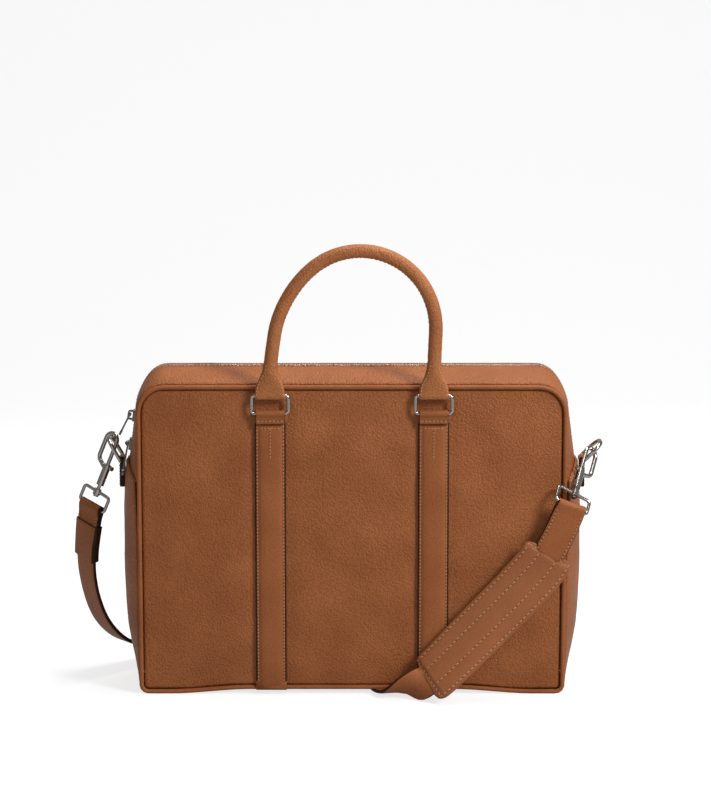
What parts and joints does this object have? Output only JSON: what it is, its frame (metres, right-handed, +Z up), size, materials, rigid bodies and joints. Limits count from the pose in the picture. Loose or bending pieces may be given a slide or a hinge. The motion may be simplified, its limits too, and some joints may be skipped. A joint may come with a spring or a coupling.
{
  "type": "briefcase",
  "caption": "Soft leather briefcase with a zipped top, rolled handles on wire rings, side D rings and a padded clip-on shoulder strap.",
  "frame": {"origin": "middle of the footprint, on the surface the bag stands on", "axes": "+X to the right side seen from the front, +Y to the back, +Z up"},
  "size_m": [0.4749, 0.3425, 0.4],
  "materials": {
    "grained_leather": "tan full-grain leather with a fine pebble grain, semi-matt",
    "smooth_leather": "tan smooth leather with dark painted edges and tan stitching",
    "lining_fabric": "woven brown lining",
    "padding": "closed foam and cotton rope",
    "stiffener": "matt board",
    "zip_tape": "woven brown zip tape",
    "zip_metal": "polished nickel teeth",
    "polished_metal": "polished nickel",
    "dark_metal": "polished dark nickel"
  },
  "bodies": {
    "root": {"back_padding": "padding", "back_panel": "grained_leather", "back_piping": "grained_leather", "base_board": "stiffener", "bottom_gusset": "grained_leather", "d_ring_loop_left": "smooth_leather", "d_ring_loop_right": "smooth_leather", "front_padding": "padding", "front_panel": "grained_leather", "front_piping": "grained_leather", "hook_ring_left": "polished_metal", "hook_ring_right": "polished_metal", "laptop_divider": "lining_fabric", "laptop_tab_anchor": "smooth_leather", "lining": "lining_fabric", "pocket_zip": "zip_tape", "ring_loop_back_left": "smooth_leather", "ring_loop_back_right": "smooth_leather", "ring_loop_front_left": "smooth_leather", "ring_loop_front_right": "smooth_leather", "shoulder_pad": "smooth_leather", "shoulder_strap": "smooth_leather", "side_gusset_left": "grained_leather", "side_gusset_right": "grained_leather", "slip_pockets": "lining_fabric", "strap_back_left": "smooth_leather", "strap_back_right": "smooth_leather", "strap_end_left": "smooth_leather", "strap_end_right": "smooth_leather", "strap_front_left": "smooth_leather", "strap_front_right": "smooth_leather", "strap_keeper": "smooth_leather", "zip_gusset_back": "grained_leather", "zip_gusset_front": "grained_leather", "zip_pocket_panel": "lining_fabric", "zip_tape_back": "zip_tape", "zip_tape_front": "zip_tape", "zip_teeth_back": "zip_metal", "zip_teeth_front": "zip_metal"},
    "ring_front_left": {"ring_front_left": "polished_metal"},
    "ring_front_right": {"ring_front_right": "polished_metal"},
    "ring_back_left": {"ring_back_left": "polished_metal"},
    "ring_back_right": {"ring_back_right": "polished_metal"},
    "handle_front": {"handle_front": "grained_leather", "handle_core_front": "padding"},
    "handle_back": {"handle_back": "grained_leather", "handle_core_back": "padding"},
    "d_ring_left": {"d_ring_left": "polished_metal"},
    "d_ring_right": {"d_ring_right": "polished_metal"},
    "slider_upper": {"zip_slider_upper": "dark_metal"},
    "pull_upper": {"zip_pull_upper": "dark_metal"},
    "slider_lower": {"zip_slider_lower": "dark_metal"},
    "pull_lower": {"zip_pull_lower": "dark_metal"},
    "hook_left": {"hook_left": "polished_metal"},
    "hook_right": {"hook_right": "polished_metal"},
    "gate_left": {"hook_gate_left": "polished_metal"},
    "gate_right": {"hook_gate_right": "polished_metal"},
    "laptop_tab": {"laptop_tab": "smooth_leather"},
    "pocket_slider": {"pocket_slider": "dark_metal"}
  },
  "joints": [
    {"name": "ring_front_left_hinge", "type": "hinge", "parent": "root", "child": "ring_front_left", "pos_m": [-0.071, -0.0516, 0.252], "axis": [1, 0, 0], "range_deg": [0, 35]},
    {"name": "ring_front_right_hinge", "type": "hinge", "parent": "root", "child": "ring_front_right", "pos_m": [0.071, -0.0516, 0.252], "axis": [1, 0, 0], "range_deg": [0, 35]},
    {"name": "ring_back_left_hinge", "type": "hinge", "parent": "root", "child": "ring_back_left", "pos_m": [-0.071, 0.0516, 0.252], "axis": [-1, 0, 0], "range_deg": [-35, 0]},
    {"name": "ring_back_right_hinge", "type": "hinge", "parent": "root", "child": "ring_back_right", "pos_m": [0.071, 0.0516, 0.252], "axis": [-1, 0, 0], "range_deg": [-35, 0]},
    {"name": "handle_front_hinge", "type": "hinge", "parent": "ring_front_left", "child": "handle_front", "pos_m": [0, -0.0516, 0.2675], "axis": [1, 0, 0], "range_deg": [-2.5, 142.5]},
    {"name": "handle_back_hinge", "type": "hinge", "parent": "ring_back_left", "child": "handle_back", "pos_m": [0, 0.06049, 0.2647], "axis": [-1, 0, 0], "range_deg": [-145, 0]},
    {"name": "d_ring_left_hinge", "type": "hinge", "parent": "root", "child": "d_ring_left", "pos_m": [-0.2046, 0, 0.203], "axis": [0, 1, 0], "range_deg": [-6, 0]},
    {"name": "d_ring_right_hinge", "type": "hinge", "parent": "root", "child": "d_ring_right", "pos_m": [0.2046, 0, 0.203], "axis": [0, -1, 0], "range_deg": [-8, 0]},
    {"name": "upper_slider_travel", "type": "slide", "parent": "root", "child": "slider_upper", "axis": [0.1366, 0, 0.9906], "range_m": [-0.005, 0.003]},
    {"name": "upper_pull_hinge", "type": "hinge", "parent": "slider_upper", "child": "pull_upper", "pos_m": [-0.19739, 0, 0.24271], "axis": [0, 1, 0], "range_deg": [-10, 110]},
    {"name": "lower_slider_travel", "type": "slide", "parent": "root", "child": "slider_lower", "axis": [0.1366, 0, 0.9906], "range_m": [0, 0.005]},
    {"name": "lower_pull_hinge", "type": "hinge", "parent": "slider_lower", "child": "pull_lower", "pos_m": [-0.19913, 0, 0.21696], "axis": [-0.9906, 0, 0.1366], "range_deg": [0, 70]},
    {"name": "left_hook_swivel", "type": "hinge", "parent": "root", "child": "hook_left", "pos_m": [-0.22796, 0.0069, 0.17194], "axis": [0.375, 0, 0.927], "range_deg": [-8, 8]},
    {"name": "right_hook_swivel", "type": "hinge", "parent": "root", "child": "hook_right", "pos_m": [0.1941, -0.04935, 0.18095], "axis": [0.2703, 0.6808, 0.6808], "range_deg": [0, 8]},
    {"name": "left_gate_slide", "type": "slide", "parent": "hook_left", "child": "gate_left", "axis": [0.375, 0, 0.927], "range_m": [-0.008, 0], "stiffness_N_per_m": 120, "springref_m": 0.004},
    {"name": "right_gate_slide", "type": "slide", "parent": "hook_right", "child": "gate_right", "axis": [0.2703, 0.6808, 0.6808], "range_m": [-0.008, 0], "stiffness_N_per_m": 120, "springref_m": 0.004},
    {"name": "laptop_tab_hinge", "type": "hinge", "parent": "root", "child": "laptop_tab", "pos_m": [0, 0.034, 0.236], "axis": [-1, 0, 0], "range_deg": [0, 80]},
    {"name": "pocket_slider_travel", "type": "slide", "parent": "root", "child": "pocket_slider", "axis": [1, 0, 0], "range_m": [0, 0.188]}
  ],
  "couplings": [
    {"joint": "ring_front_right_hinge", "follows": "ring_front_left_hinge", "ratio": 1},
    {"joint": "ring_back_right_hinge", "follows": "ring_back_left_hinge", "ratio": 1}
  ]
}
